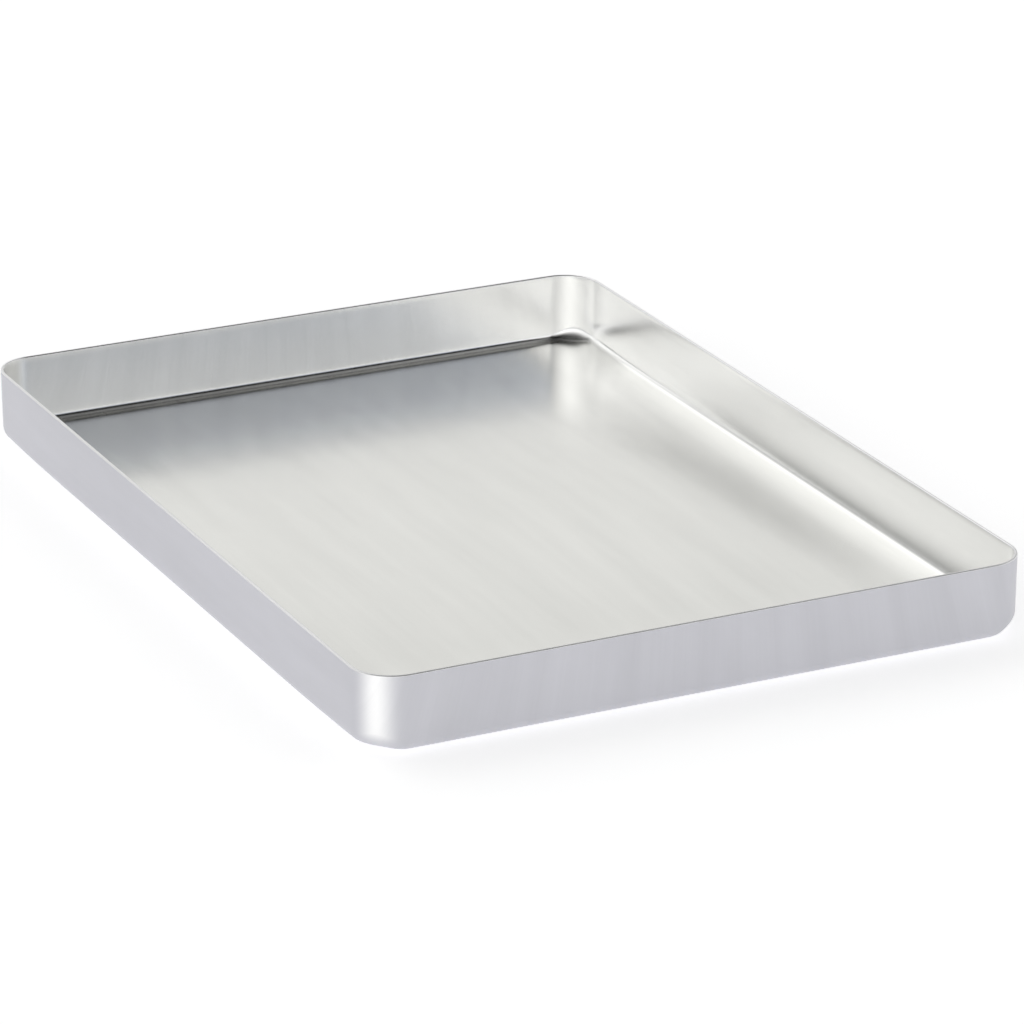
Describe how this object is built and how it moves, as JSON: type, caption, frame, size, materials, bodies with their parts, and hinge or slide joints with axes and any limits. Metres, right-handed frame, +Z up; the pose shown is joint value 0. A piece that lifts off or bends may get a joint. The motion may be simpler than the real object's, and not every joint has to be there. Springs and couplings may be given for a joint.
{
  "type": "sheet pan",
  "caption": "Shallow rectangular aluminium baking tray drawn from one sheet, with a flat floor, upright walls, rounded corners and a plain cut rim.",
  "frame": {"origin": "middle of the floor's underside, which is the plane that the pan stands on", "axes": "+Z up out of the open top, +Y along the pan's length, +X across it"},
  "size_m": [0.33, 0.457, 0.038],
  "materials": {
    "bare_aluminium": "satin mill finish, with fine rolling grain along the pan"
  },
  "bodies": {
    "root": {"pan": "bare_aluminium"}
  },
  "joints": []
}
